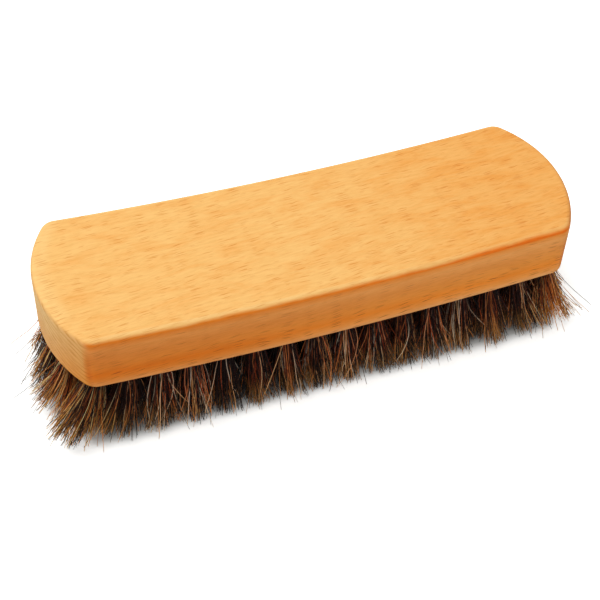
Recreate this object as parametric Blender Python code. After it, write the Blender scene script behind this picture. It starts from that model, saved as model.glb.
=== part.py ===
"""Textile brush: an arched beech block filled with fanned tufts of horsehair.

All lengths are in metres. +X runs along the block, -Y is its front and +Z is up. The bristles
stand on the plane z = 0, and the origin lies under the middle of the block.

The block is drilled with blind holes, and each tuft is seated in its own hole. The tufts come in
crosswise rows: the tufts of one row share a thin slice of the block's underside, the bed.
"""

import math

import bmesh
import bpy
from mathutils import Matrix, Vector, kdtree

# Block
BLOCK_LENGTH = 0.170
BLOCK_WIDTH = 0.0535
BLOCK_THICKNESS = 0.0195
BLOCK_ARCH = 0.0031  # the ends lie this much higher than the middle
END_BOW = 0.0091  # each end swells this far past its two corners
CORNER_RADIUS = 0.005
TOP_ARRIS = 0.002
BOTTOM_ARRIS = 0.001

# Tuft holes
HOLE_DIAMETER = 0.005
HOLE_DEPTH = 0.009
SIDE_WALL = 0.004  # wood between a long side and the nearest holes
END_WALL = 0.004  # wood between an end and the nearest holes
ROWS = 16  # crosswise rows, counted along the block
TUFTS_PER_ROW = 5
HOLE_CLEARANCE = 0.0003

# Bed, the slices of the underside that carry the rows
BED_THICKNESS = 0.003
BED_MARGIN = 0.0005  # how far the bed reaches past the outermost holes
SEAT_GAP = 0.0003

# Bristles
BRISTLE_LENGTH = 0.0225
STANDING_CUT = 0.0005  # taken off the longest bristles, so that they stand flat
UNEVENNESS = 0.0012  # the shortest bristles are this much shorter than the longest
STRAND_ROOT_RADIUS = 0.0006
STRAND_TIP_RADIUS = 0.00045
END_SPLAY = 0.0075  # how far the tips of the end rows lean outward
SIDE_SPLAY = 0.0058  # how far the tips beside the long sides lean outward
TIP_FILL_SHARE = 0.6  # the tips of a tuft cover this share of its pitch both ways
MIDDLE_REACH_SHARE = 0.36  # part of its sideways reach that a strand makes by half length
END_SPLAY_POWER = 4
SIDE_SPLAY_POWER = 3
TWIST_DEGREES = 14
FILL_VARIATION_SHARE = 0.12

# Cuts and joints
OVERRUN = 0.001
STRAND_SINK_SHARE = 0.35  # of the bed's thickness
PLUG_START_SHARE = 0.65  # of the bed's thickness

# Mesh steps
ARC_STEPS = 7
CORNER_STEPS = 5
SIDE_STEPS = 14
BED_STEPS = 6
HOLE_SIDES = 8
STRAND_SIDES = 3
TOP_ARRIS_STEPS = 3
BOTTOM_ARRIS_STEPS = 2
GAP_SAMPLES = 12
SHARP_DEGREES = 35
CAP_NORMAL_SHARE = 0.7

# Variation from one tuft to the next, by the golden ratio
GOLDEN_SHARE = (math.sqrt(5) - 1) / 2

BEECH_COLOUR = (0.80, 0.46, 0.17, 1.0)
BEECH_ROUGHNESS = 0.34
HORSEHAIR_COLOUR = (0.055, 0.032, 0.020, 1.0)
HORSEHAIR_ROUGHNESS = 0.5


def clear_scene():
    for item in list(bpy.data.objects):
        bpy.data.objects.remove(item, do_unlink=True)


def make_material(name, colour, roughness):
    material = bpy.data.materials.new(name)
    material.use_nodes = True
    shader = material.node_tree.nodes["Principled BSDF"]
    shader.inputs["Base Color"].default_value = colour
    shader.inputs["Roughness"].default_value = roughness
    shader.inputs["Metallic"].default_value = 0.0
    material.diffuse_color = colour
    return material


def add_object(name, bm, material):
    """Turn a bmesh into a named object, shaded smooth with its sharp edges kept."""
    mesh = bpy.data.meshes.new(name)
    bm.to_mesh(mesh)
    bm.free()
    mesh.materials.append(material)
    mesh.shade_smooth()
    mesh.set_sharp_from_angle(angle=math.radians(SHARP_DEGREES))
    item = bpy.data.objects.new(name, mesh)
    bpy.context.collection.objects.link(item)
    return item


def add_tool(name, bm, material):
    """A solid that another object cuts away or takes in, and that isn't a piece itself."""
    tool = add_object(name, bm, material)
    tool.hide_render = True
    tool.display_type = "WIRE"
    return tool


def combine(item, tool, operation):
    modifier = item.modifiers.new(tool.name, "BOOLEAN")
    modifier.operation = operation
    modifier.solver = "EXACT"
    modifier.material_mode = "TRANSFER"
    modifier.object = tool


def underside(x):
    """Height of the block's underside above the table, which rises towards both ends."""
    lowest = BRISTLE_LENGTH - STANDING_CUT
    return lowest + BLOCK_ARCH * (2 * x / BLOCK_LENGTH) ** 2


def end_arc():
    """Radius of the end arc, and the distance of its centre from the middle of the block."""
    half_width = BLOCK_WIDTH / 2
    radius = (half_width**2 + END_BOW**2) / (2 * END_BOW)
    return radius, BLOCK_LENGTH / 2 - radius


def end_reach(y):
    """How far the end arc lies from the middle of the block at a place across it."""
    radius, centre = end_arc()
    return centre + math.sqrt(radius**2 - y**2)


def row_pitch(y):
    """Distance from row to row at a place across the block; it grows towards the middle."""
    return 2 * (end_reach(y) - END_WALL - HOLE_DIAMETER / 2) / (ROWS - 1)


def tuft_pitch():
    """Distance from tuft to tuft within a row."""
    return (BLOCK_WIDTH - 2 * SIDE_WALL - HOLE_DIAMETER) / (TUFTS_PER_ROW - 1)


def centred(index, count):
    """Steps from the middle of a run of equal steps, so -2 to 2 for five."""
    return index - (count - 1) / 2


def tuft_place(row, tuft):
    y = centred(tuft, TUFTS_PER_ROW) * tuft_pitch()
    return centred(row, ROWS) * row_pitch(y), y


def tufts_of(row):
    return [(row, tuft) for tuft in range(TUFTS_PER_ROW)]


def ladder_slab(rungs, low, high):
    """A closed slab that follows the arch, between two levels above the underside.

    Its plan is a ladder: each rung is a pair of points on the two rails, or one point twice.
    """
    bm = bmesh.new()
    rails = []
    for start, end in rungs:
        first = bm.verts.new((*start, underside(start[0]) + low))
        last = first if start == end else bm.verts.new((*end, underside(end[0]) + low))
        rails.append((first, last))
    for (a, b), (c, d) in zip(rails, rails[1:]):
        bm.faces.new(dict.fromkeys((a, b, d, c)))
    upper = bmesh.ops.extrude_face_region(bm, geom=bm.faces[:])["geom"]
    raised = [part for part in upper if isinstance(part, bmesh.types.BMVert)]
    bmesh.ops.translate(bm, verts=raised, vec=(0, 0, high - low))
    bmesh.ops.recalc_face_normals(bm, faces=bm.faces[:])
    return bm


def block_half_end():
    """The plan of one end, from its tip round the arc and the corner to the long side."""
    radius, centre = end_arc()
    corner_y = BLOCK_WIDTH / 2 - CORNER_RADIUS
    corner_x = centre + math.sqrt((radius - CORNER_RADIUS) ** 2 - corner_y**2)
    turn = math.atan2(corner_y, corner_x - centre)
    points = [(BLOCK_LENGTH / 2, 0.0)]
    for step in range(1, ARC_STEPS + 1):
        angle = turn * step / ARC_STEPS
        points.append((centre + radius * math.cos(angle), radius * math.sin(angle)))
    for step in range(1, CORNER_STEPS + 1):
        angle = turn + (math.pi / 2 - turn) * step / CORNER_STEPS
        x = corner_x + CORNER_RADIUS * math.cos(angle)
        points.append((x, corner_y + CORNER_RADIUS * math.sin(angle)))
    return points


def bed_half_end(clearance):
    """The plan of one end of the bed, from its tip to its long side."""
    half_width = BLOCK_WIDTH / 2 - SIDE_WALL + BED_MARGIN - clearance
    ys = [half_width * step / ARC_STEPS for step in range(ARC_STEPS + 1)]
    return [(bed_end(y) - clearance, y) for y in ys]


def bed_end(y):
    """Where the recess for the bed ends, at a place across the block."""
    return end_reach(y) - END_WALL + BED_MARGIN


def crosswise_rungs(half_end):
    """Rungs across the block from one end to the other, mirrored from one half end."""
    side_x, side_y = half_end[-1]
    steps = range(1, SIDE_STEPS)
    sides = [(side_x * (1 - 2 * step / SIDE_STEPS), side_y) for step in steps]
    mirrored = [(-x, y) for x, y in reversed(half_end)]
    return [((x, -y), (x, y)) for x, y in [*half_end, *sides, *mirrored]]


def rim_edges(bm, side):
    """Edges round the top (side 1) or the underside (side -1) of a slab."""

    def is_cap(face):
        return face.normal.z * side > CAP_NORMAL_SHARE

    return [edge for edge in bm.edges if sum(map(is_cap, edge.link_faces)) == 1]


def block_body():
    """The block before it is drilled, with its arrises rounded."""
    bm = ladder_slab(crosswise_rungs(block_half_end()), 0, BLOCK_THICKNESS)
    rims = (
        (1, TOP_ARRIS, TOP_ARRIS_STEPS),
        (-1, BOTTOM_ARRIS, BOTTOM_ARRIS_STEPS),
    )
    for side, radius, steps in rims:
        edges = rim_edges(bm, side)
        bmesh.ops.bevel(bm, geom=edges, offset=radius, segments=steps, profile=0.5, affect="EDGES")
    return bm


def add_post(bm, place, radius, low, high):
    """An upright post between two levels above the underside."""
    x, y = place
    centre = Vector((x, y, underside(x) + (low + high) / 2))
    turn = Matrix.Rotation(math.pi / HOLE_SIDES, 4, "Z")
    bmesh.ops.create_cone(
        bm,
        cap_ends=True,
        segments=HOLE_SIDES,
        radius1=radius,
        radius2=radius,
        depth=high - low,
        matrix=Matrix.Translation(centre) @ turn,
    )


def drill_bits():
    """Every tuft's blind hole, as one cutter that comes out through the underside."""
    bm = bmesh.new()
    for row in range(ROWS):
        for tuft in tufts_of(row):
            add_post(bm, tuft_place(*tuft), HOLE_DIAMETER / 2, -OVERRUN, HOLE_DEPTH)
    return bm


def add_block(beech):
    recess_rungs = crosswise_rungs(bed_half_end(0))
    recess = ladder_slab(recess_rungs, -OVERRUN, BED_THICKNESS + SEAT_GAP)
    block = add_object("block", block_body(), beech)
    combine(block, add_tool("recess_cutter", recess, beech), "DIFFERENCE")
    combine(block, add_tool("drill_cutter", drill_bits(), beech), "DIFFERENCE")


def bed_edges(row, y):
    """The two sides of a row's slice, at a place across the block."""
    far = bed_end(y) - SEAT_GAP
    pitch = row_pitch(y)
    middle = centred(row, ROWS) * pitch
    left = -far if row == 0 else middle - (pitch - SEAT_GAP) / 2
    right = far if row == ROWS - 1 else middle + (pitch - SEAT_GAP) / 2
    return left, right


def bed_slice(row):
    _, half_width = bed_half_end(SEAT_GAP)[-1]
    rungs = []
    for step in range(BED_STEPS + 1):
        y = half_width * (2 * step / BED_STEPS - 1)
        left, right = bed_edges(row, y)
        rungs.append(((left, y), (right, y)))
    bm = ladder_slab(rungs, 0, BED_THICKNESS)
    bmesh.ops.triangulate(bm, faces=bm.faces[:])
    return bm


def vary(row, tuft, turn):
    """An even spread of values from -1 to 1 over the tufts, without a pattern to the eye."""
    return 2 * (((row * TUFTS_PER_ROW + tuft + 1) * GOLDEN_SHARE * turn) % 1) - 1


def tuft_lean(row, tuft):
    """How far a tuft's tips lean outward, nothing in the middle and most at the edges."""
    along = centred(row, ROWS) / centred(ROWS - 1, ROWS)
    across = centred(tuft, TUFTS_PER_ROW) / centred(TUFTS_PER_ROW - 1, TUFTS_PER_ROW)
    lean_x = END_SPLAY * abs(along) ** (END_SPLAY_POWER - 1) * along
    lean_y = SIDE_SPLAY * abs(across) ** (SIDE_SPLAY_POWER - 1) * across
    return Vector((lean_x, lean_y))


def strand_feet(row, tuft):
    """Plan positions of a tuft's five strands at the root and at the tip, and their shortening.

    One strand stands in the middle of the hole and the others near its wall.
    """
    x, y = tuft_place(row, tuft)
    root_ring = HOLE_DIAMETER / 2 - HOLE_CLEARANCE - STRAND_ROOT_RADIUS
    fill = TIP_FILL_SHARE * (1 + FILL_VARIATION_SHARE * vary(row, tuft, 3))
    twist = math.radians(TWIST_DEGREES) * vary(row, tuft, 5)
    root = Vector((x, y))
    tip = root + tuft_lean(row, tuft)
    strands = [(root, tip, 0.0)]
    for quarter in range(4):
        angle = math.pi / 4 + math.pi / 2 * quarter
        side = Vector((math.cos(angle), math.sin(angle)))
        corner = Vector((side.x * row_pitch(y), side.y * tuft_pitch())) * fill / math.sqrt(2)
        corner.rotate(Matrix.Rotation(twist, 2))
        shortening = UNEVENNESS * (1 + vary(row, tuft, 7 + quarter)) / 2
        strands.append((root + side * root_ring, tip + corner, shortening))
    return strands


def strand_rings(root, tip, shortening):
    """Centres and radii of a strand's cross-sections, from inside the bed to the tip.

    A strand that leans keeps its length, so it ends higher. One that would reach below the
    table is cut flat on it.
    """
    reach = tip - root
    length = BRISTLE_LENGTH - shortening
    drop = math.sqrt(length**2 - reach.length_squared)
    height = underside(root.x)
    end_share = min(1.0, height / drop)
    sunk = Vector((*root, height + STRAND_SINK_SHARE * BED_THICKNESS))
    middle = Vector((*(root + reach * MIDDLE_REACH_SHARE), height - drop / 2))
    beyond = 2 * end_share - 1
    end_reach_share = MIDDLE_REACH_SHARE + (1 - MIDDLE_REACH_SHARE) * beyond
    end = Vector((*(root + reach * end_reach_share), height - drop * end_share))
    taper = (STRAND_ROOT_RADIUS + STRAND_TIP_RADIUS) / 2
    return [(sunk, STRAND_ROOT_RADIUS), (middle, taper), (end, STRAND_TIP_RADIUS)]


def add_strand(bm, rings, turn):
    """A strand with level cross-sections, closed at both ends."""
    loops = []
    for centre, radius in rings:
        loop = []
        for side in range(STRAND_SIDES):
            angle = turn + 2 * math.pi * side / STRAND_SIDES
            offset = Vector((math.cos(angle), math.sin(angle), 0)) * radius
            loop.append(bm.verts.new(centre + offset))
        loops.append(loop)
    for upper, lower in zip(loops, loops[1:]):
        for side in range(STRAND_SIDES):
            after = (side + 1) % STRAND_SIDES
            bm.faces.new((upper[side], lower[side], lower[after], upper[after]))
    bm.faces.new(loops[0])
    bm.faces.new(reversed(loops[-1]))


def tufts_mesh(row, strands):
    """The tufts of a row: each has a plug that fills its hole, and its strands."""
    bm = bmesh.new()
    plug_radius = HOLE_DIAMETER / 2 - HOLE_CLEARANCE
    plug_start = PLUG_START_SHARE * BED_THICKNESS
    for place in tufts_of(row):
        add_post(bm, tuft_place(*place), plug_radius, plug_start, HOLE_DEPTH - HOLE_CLEARANCE)
        turn = math.pi * vary(*place, 11)
        for feet in strand_feet(*place):
            rings = strand_rings(*feet)
            add_strand(bm, rings, turn)
            strands.append([centre for centre, _ in rings])
    return bm


def add_rows(beech, horsehair):
    """The rows of tufts, each one fused to its slice of the bed."""
    strands = []
    for row in range(ROWS):
        name = f"tuft_row_{row + 1:02d}"
        item = add_object(name, bed_slice(row), beech)
        tufts = add_tool(f"{name}_tufts", tufts_mesh(row, strands), horsehair)
        combine(item, tufts, "UNION")
    return strands


def least_gap(strands):
    """The least gap between any two strands, measured between points along them."""
    points = []
    for number, centres in enumerate(strands):
        for start, end in zip(centres, centres[1:]):
            steps = range(GAP_SAMPLES + 1)
            points += [(number, start.lerp(end, step / GAP_SAMPLES)) for step in steps]
    tree = kdtree.KDTree(len(points))
    for index, (_, point) in enumerate(points):
        tree.insert(point, index)
    tree.balance()
    gaps = []
    for number, point in points:
        found = tree.find_range(point, HOLE_DIAMETER)
        gaps += [distance for _, other, distance in found if points[other][0] != number]
    return min(gaps) - 2 * STRAND_ROOT_RADIUS


def main():
    clear_scene()
    beech = make_material("beech", BEECH_COLOUR, BEECH_ROUGHNESS)
    horsehair = make_material("horsehair", HORSEHAIR_COLOUR, HORSEHAIR_ROUGHNESS)
    add_block(beech)
    strands = add_rows(beech, horsehair)
    gap = least_gap(strands)
    print(f"{len(strands)} strands, least gap between two of them {gap * 1000:.2f} mm")


main()
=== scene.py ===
"""Looks of the textile brush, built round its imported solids.

Lengths are in metres. +X runs along the block, -Y is its front and +Z is up, as in the frame.
The block is one piece of varnished beech with a drilled underside. Each crosswise row of tufts is
one piece made of single hairs, and every tuft comes out of its own hole.

A fade has two or four numbers. It takes the first to the third and the second to the fourth, or
the two to 0 and 1. A stretch multiplies places, and a noise has its detail, roughness and
distortion. The materials of the wood and the hair count places in millimetres, the floor in metres.
"""

import math

import bmesh
import bpy
import numpy as np
from mathutils import Matrix, Vector


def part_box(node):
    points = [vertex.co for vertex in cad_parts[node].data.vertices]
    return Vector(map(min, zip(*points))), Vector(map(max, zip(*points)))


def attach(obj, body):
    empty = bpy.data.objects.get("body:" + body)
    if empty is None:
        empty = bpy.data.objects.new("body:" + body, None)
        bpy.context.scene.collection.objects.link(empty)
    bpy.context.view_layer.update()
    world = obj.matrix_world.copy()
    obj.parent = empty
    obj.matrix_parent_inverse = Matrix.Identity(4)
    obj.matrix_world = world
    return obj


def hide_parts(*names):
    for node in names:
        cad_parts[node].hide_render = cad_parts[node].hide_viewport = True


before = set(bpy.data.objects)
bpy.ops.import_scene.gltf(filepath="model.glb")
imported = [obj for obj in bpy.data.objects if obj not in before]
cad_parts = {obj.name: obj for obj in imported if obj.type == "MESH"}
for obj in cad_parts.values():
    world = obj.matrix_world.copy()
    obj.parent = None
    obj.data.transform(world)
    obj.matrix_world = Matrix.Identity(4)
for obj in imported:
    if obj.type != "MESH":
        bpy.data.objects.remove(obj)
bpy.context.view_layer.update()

SEED = 27182
MM = 0.001
FULL_TURN = 2 * math.pi
GOLDEN_ANGLE = math.pi * (3 - math.sqrt(5))
WHITE = (1.0, 1.0, 1.0, 1.0)
BLACK = (0.0, 0.0, 0.0, 1.0)

# The block's form, as in the solids; its length, width, top and lowest level come from the frame
BLOCK_LOW, BLOCK_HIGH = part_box("block")
BLOCK_LENGTH = BLOCK_HIGH.x - BLOCK_LOW.x
BLOCK_WIDTH = BLOCK_HIGH.y - BLOCK_LOW.y
BLOCK_THICKNESS = 0.0195
BLOCK_ARCH = 0.0031
END_BOW = 0.0091
CORNER_RADIUS = 0.005
TOP_ARRIS = 0.002
BOTTOM_ARRIS = 0.001
HOLE_DIAMETER = 0.005
HOLE_RADIUS = HOLE_DIAMETER / 2
HOLE_DEPTH = 0.009
SIDE_WALL = 0.004
END_WALL = 0.004
ROWS = sum(name.startswith("tuft_row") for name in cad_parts)
TUFTS_PER_ROW = 5
OVERRUN = 0.001  # how far the drill bits reach out of the wood

# Steps of the block's mesh
ARC_STEPS = 28
CORNER_STEPS = 14
SIDE_STEPS = 48
TOP_ARRIS_STEPS = 10
BOTTOM_ARRIS_STEPS = 6
ROUND_PROFILE = 0.5
HOLE_SIDES = 28
SHARP_DEGREES = 40
CAP_NORMAL_SHARE = 0.7  # faces whose normal rises or falls more than this are the top or underside

# Beech: colours by face
TOP_PALE = (0.962, 0.560, 0.189, 1.0)
TOP_DEEP = (0.905, 0.398, 0.090, 1.0)
# painted highlight: a paler rim on the top next to the arris
RIM_HIGHLIGHT = (1.00, 0.660, 0.265, 1.0)
# Painted shade and sheen by level: pale foot, deepest low, a pale band high up, deep under the
# arris
SIDE_SHEEN_SHADE_STOPS = (
    (0.00, (0.92, 0.410, 0.160)),
    (0.06, (0.975, 0.405, 0.122)),
    (0.15, (1.00, 0.341, 0.060)),
    (0.27, (1.00, 0.278, 0.026)),
    (0.42, (0.958, 0.312, 0.046)),
    (0.62, (0.926, 0.318, 0.063)),
    (0.80, (1.00, 0.396, 0.102)),
    (0.88, (0.985, 0.331, 0.062)),
    (0.93, (0.975, 0.278, 0.028)),
)
SIDE_LEFT_TINT = (0.87, 0.82, 0.70, 1.0)
SIDE_RIGHT_TINT = (1.02, 1.14, 1.25, 1.0)
END_PALE = (0.86, 0.568, 0.225, 1.0)
# painted shade on the ends, below and towards the long sides
END_SHADED = (0.805, 0.320, 0.053, 1.0)
END_RIM = (0.82, 0.455, 0.165, 1.0)
# painted shade on the rounded corners between the long sides and the ends
CORNER_SHADE_TINT = (0.91, 0.69, 0.43, 1.0)
# painted shade: a deeper line just below the top arris
ARRIS_SHADE_TINT = (0.96, 0.64, 0.42, 1.0)
LOW_LEFT_TINT = (0.95, 0.86, 0.62, 1.0)
GRAIN_TINT = (0.86, 0.76, 0.60, 1.0)
END_LINE_TINT = (0.81, 0.66, 0.46, 1.0)
TOP_FLECK_TINT = (0.80, 0.60, 0.42, 1.0)
SIDE_FLECK_TINT = (0.46, 0.30, 0.24, 1.0)

# Beech: how far a surface has to rise, or turn to an end, to take the top's or the ends' colour
WORN_STRETCH = (0.05, 0.0, 0.0)
WORN_FADE = (0.3, 0.7, -0.12, 0.12)  # an uneven arris, by noise along the block
LEFT_RISE_FADE = (-75.0, -50.0, -0.05, 0.04)
RIGHT_RISE_FADE = (20.0, 80.0, 0.0, 0.14)
CORNER_RISE_FADE = (-78.0, -64.0, 0.17, 0.0)
CORNER_FRONT_FADE = (-24.0, -17.0, 1.0, 0.0)
TOP_EDGE_FADE = (0.31, 0.84)
END_EDGE_FADE = (0.30, 0.85)
LEAST_FLAT = 0.01  # stands in for the flat part of a normal that points straight up

# Beech: how the colours of each face change along the block, across it and by level
BAND_STRETCH = (0.06, 0.22)
BAND_NOISE = (7.0, 0.68, 0.5)
TOP_BAND_FADE = (0.36, 0.72, -0.05, 0.55)
# Painted shade: the top deepens towards the right
TOP_SHADE_DRIFT_FADE = (-12.0, 74.0, 0.0, 0.57)
# Painted highlight: the top's paler rim by rise, along the block, beside it and at the left end
RIM_INNER_FADE = (0.70, 0.90)
RIM_OUTER_FADE = (0.985, 1.0, 1.0, 0.0)
RIM_ALONG_FADE = (-60.0, 70.0, 0.55, 0.22)
RIM_BESIDE_FADE = (20.5, 24.5)
RIM_START_FADE = (-80.0, -66.0)
END_RIM_FADE = (2.5, 7.0, 0.55, 0.0)  # over the distance from the left end's curve
END_RIM_START_FADE = (-22.0, -12.0)
SIDE_BAND_FADE = (0.40, 0.72, 0.0, 0.45)
SIDE_TINT_FADE = (-85.0, 85.0)
LOW_LEFT_START_FADE = (0.08, 0.22)
LOW_LEFT_STOP_FADE = (0.26, 0.46, 1.0, 0.0)
LOW_LEFT_ALONG_FADE = (-42.0, -12.0, 1.0, 0.0)
# Painted shade on the ends, deeper below and towards both sides
END_LEVEL_FADE = (0.0, 1.0, 0.55, 0.0)
END_ACROSS_FADE = (6.0, 25.0, 0.0, 0.45)
END_ARRIS_FADE = (0.05, 0.50)
# Painted shade on the corners, by level
CORNER_HIGH_FADE = (0.55, 0.95, 3.6, 0.0)
CORNER_LOW_FADE = (0.0, 0.30, 0.35, 1.0)
# Painted shade below the arris, stronger towards the right
ARRIS_SHADE_FADE = (0.05, 0.35)
ARRIS_ALONG_FADE = (-50.0, 75.0)

# Beech: marks, with their sizes in millimetres
SWAY_STRETCH = (0.022, 0.05, 0.05)
SWAY_REACH = (0.0, 3.5, 3.5)
FLECK_CELL = (8.0, 0.62, 0.45, 1.0)  # length, thickness, share of empty cells and full strength
DASH_CELL = (4.5, 0.45, 0.45, 0.7)
STREAK_CELL = (7.5, 0.46, 0.52, 1.0)
FLECK_SPOT_FADE = (0.10, 0.34, 1.0, 0.0)
FLECK_TINT_FADE = (0.0, 0.5)
FLECK_TILT = 0.07
FLECK_WAVE = 1.1
RIPPLE_STRETCH = (0.20, 0.45)
RIPPLE_DETAIL = 2.0
FIBRE_STRETCH = (0.15, 1.5)
FIBRE_NOISE = (5.0, 0.70)
FIBRE_FADE = (0.36, 0.74, 0.0, 0.60)
FIBRE_HEIGHT_SHARE = 0.35
SIDE_FLECK_SHARE = 0.5
STREAK_LEVEL_FADE = (0.30, 0.62, 1.0, 0.35)
END_MARK_SHARE = 0.15  # this much of the fibre and flecks is left on the ends
RING_WIDTH = 1.9
RING_FALL = 0.43  # how far the rings on the ends fall per length towards the front
RING_SWAY_STRETCH = (0.06, 0.05)
RING_SWAY_DETAIL = 1.0
RING_SWAY = 5.0
RING_FADE = (-0.3, 1.0, 0.0, 0.45)
PORE_STRETCH = (1.3, 0.25)
PORE_NOISE = (3.0, 0.6)
PORE_FADE = (0.42, 0.70, 0.0, 0.70)

# Beech: bump and varnish
BUMP_STRENGTH = 0.25
BUMP_HEIGHT = 0.04 * MM
ROUGHNESS_FADE = (-0.5, 0.5, 0.50, 0.40)  # over the height of the marks
WOOD_SPECULAR = 0.0
VARNISH_WEIGHT = 0.12
VARNISH_ROUGHNESS = 0.25

# Hair: number, size and mesh
HAIRS_PER_TUFT = 350
HAIR_LENGTH = 0.0226
SHORTEST_SHARE = 0.84
SHORT_HAIR_POWER = 3  # the higher it is, the fewer short hairs there are
ARCH_FILL_SHARE = 0.4  # hairs near the ends are longer by this share of the arch's rise
LEAST_DROP_SHARE = 0.5  # a hair reaches down by at least this share of its length
SINK = 0.004  # how far the modelled roots reach up into their holes
HAIR_RADII = (0.00008, 0.000135)
PALE_SHADE = 0.72
PALE_THICKNESS = 1.22  # hairs paler than that are this many times as thick
TIP_RADIUS_SHARE = 0.72
HAIR_RINGS = 10
HAIR_SIDES = 3

# Hair: how the tufts lean, towards the ends (at the left and right) and towards the long sides
END_SPLAYS = (0.0062, 0.0037)
END_SPLAY_POWER = 4
SIDE_SPLAY = 0.0036
SIDE_SPLAY_POWER = 3
LEFT_SPLAY_GAIN = 0.45  # tufts further left lean more to the sides, but not those of the left end
BACK_HOLD_SHARES = (1.0, 0.6)  # how far the end splays are held in at the back
BACK_HOLD_POWER = 3
CORNER_LEAN_SHARES = (0.45, 0.0)  # how much further the front corners lean along the block
CORNER_LEAN_POWER = 8
LEAST_LEAN = MM / 10  # stands in for the lean of a tuft that has none
LEAN_SPREAD_SHARE = 0.45  # the outer hairs of a tuft lean this much more, the inner ones less
LEAN_START_SHARE = 0.44  # this share of a lean grows evenly along a hair, the rest by the square

# Hair: how the hairs of a tuft fan out, gather in locks and stray
FAN_SHARE = 0.52  # the tips of a tuft fan out to this share of its pitch to either side
FAN_SQUARENESS = 0.8  # 0 for round tufts, 1 for tufts whose tips fill a square
FAN_START_SHARE = 0.48
END_FAN_GAIN = 0.35  # the tufts of the end rows fan out this much wider across the block
END_POWER = 6
LOCKS_PER_TUFT = 16
LOCK_BLUR = 0.0012
LOCK_PULL_SHARE = 0.58
LOCK_DRIFT = 0.0010
LOCK_SHORTEST_SHARE = 0.955
TIP_JITTER = 0.0009
BOW = 0.0008
WAVE = 0.00018
WAVE_TURNS = (1.0, 2.6)
STRAY_SHARE = 0.17
STRAY_REACH = (0.0048, 0.0034)
STRAY_LIMIT = 1.35  # strays reach no further than this many times their usual reach
STRAY_EXTRA = 0.0016
WILD_PER_TUFT = 6  # pale hairs that cross their neighbours
WILD_REACH = (0.0070, 0.0020)
WILD_BOW_GAIN = 2.0

# Hair: which shade, hue and shelter each hair has
LOCK_SHADE_SHARE = 0.64
LOCK_SHADE_SPREAD = 0.10
SHADE_POWERS = (1.00, 1.82)  # a tuft with a higher power has darker hairs
END_PAINTED_LIGHT_SHARES = (0.38, 0.30)  # painted light: the power falls by these shares at the ends, not at left corners
RIGHT_PAINTED_LIGHT_SHARE = 0.38  # and by this one towards the right, also painted light
END_GOLD = 0.55  # towards the ends more locks are golden
HUE_SPREAD = 0.12
SHELTER_DEPTHS = (0.002, 0.008)  # painted shade covers more of a hair's length the further in it is
FLANK_SHELTER = 0.95  # and more at the flanks of a tuft, next to its neighbours

# Hair: colours from the darkest to the palest shade, and what changes them
HAIR_STOPS = (
    (0.00, (0.006, 0.0018, 0.0022)),
    (0.40, (0.018, 0.0044, 0.0032)),
    (0.55, (0.075, 0.016, 0.0086)),
    (0.68, (0.38, 0.070, 0.023)),
    (0.80, (0.81, 0.255, 0.088)),
    (0.91, (0.97, 0.55, 0.29)),
    (1.00, (1.00, 0.86, 0.70)),
)
GOLD_TINT = (0.96, 1.05, 0.86, 1.0)
RUST_TINT = (1.16, 0.76, 0.66, 1.0)
HUE_FADE = (0.78, 1.0, 1.0, 0.3)  # the palest shades keep more of their own colour
MOTTLE_SHADOW = (0.02, 0.010, 0.006, 1.0)
MOTTLE_STRETCH = (0.8, 0.8, 0.25)
MOTTLE_FADE = (0.4, 0.8, 0.0, 0.35)
HAIR_TIP = (0.87, 0.49, 0.13, 1.0)
TIP_SHARE = 0.38
TIP_ALONG_FADE = (0.55, 1.0)
TIP_SHADE_FADE = (0.2, 0.65)
END_HAIR_TINT = (1.03, 0.92, 0.55, 1.0)
END_HAIR_FADE = (60.0, 80.0)  # over the millimetres from the middle
# Painted shade at the roots, over more of a hair the more sheltered it is
ROOT_SHADE_TINT = (0.10, 0.09, 0.10, 1.0)
ROOT_SHADE_START = (0.54, -0.12)  # where the painted shade starts along a hair, by its shelter: a factor and an offset
ROOT_SHADE_END = (0.62, 0.36)
HAIR_ROUGHNESS = 0.5
HAIR_SPECULAR = 0.12

# Layout for baked colours: the block's map at a fixed scale, and a cell for each hair
BAKE_PIXELS = 1024
BAKE_PIXELS_PER_MM = 5.6
BLOCK_UV_SCALE = BAKE_PIXELS_PER_MM / BAKE_PIXELS / MM
UV_MARGIN = 0.006
HOLE_MAP = 6
HOLE_MAP_SHRINK = 4
HAIR_CELL_FILL = 0.7

# The photograph's frame and the camera that took it, with angles in degrees
FRAME_PIXELS = 600
FOCAL_PIXELS = 1310.2
SENSOR_WIDTH = 36.0
VIEW_AZIMUTH = -21.89
VIEW_ELEVATION = 46.67
VIEW_ROLL = 2.62
VIEW_DISTANCE = 0.40874
VIEW_TARGET = Vector((-0.005775, -0.010063, 0.0220))

# Stage
FLOOR_SIZE = 6.0
FLOOR_TONE = (0.80, 0.80, 0.80, 1.0)
FLOOR_SEEN_TONE = (1.12, 1.15, 1.13, 1.0)
FLOOR_LIFTS = ((-0.0005, 0.0048, 0.0, 0.36), (0.0060, 0.0240, 0.0, 0.16))  # fades of its glow, weak beside the block, so that the shadow there is partly painted
FLOOR_PAINTED_SHADOW = (-0.009, 0.005)  # the painted shadow under the brush clears over these distances from it
ZENITH_STRENGTH = 0.47
HORIZON_STRENGTH = 0.51
LEFT_GAIN = 1.3
LAMPS = (
    ("soft_key", Vector((-0.20, 0.06, 0.75)), 0.7, 3.8),  # name, place, size and power
)


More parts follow.
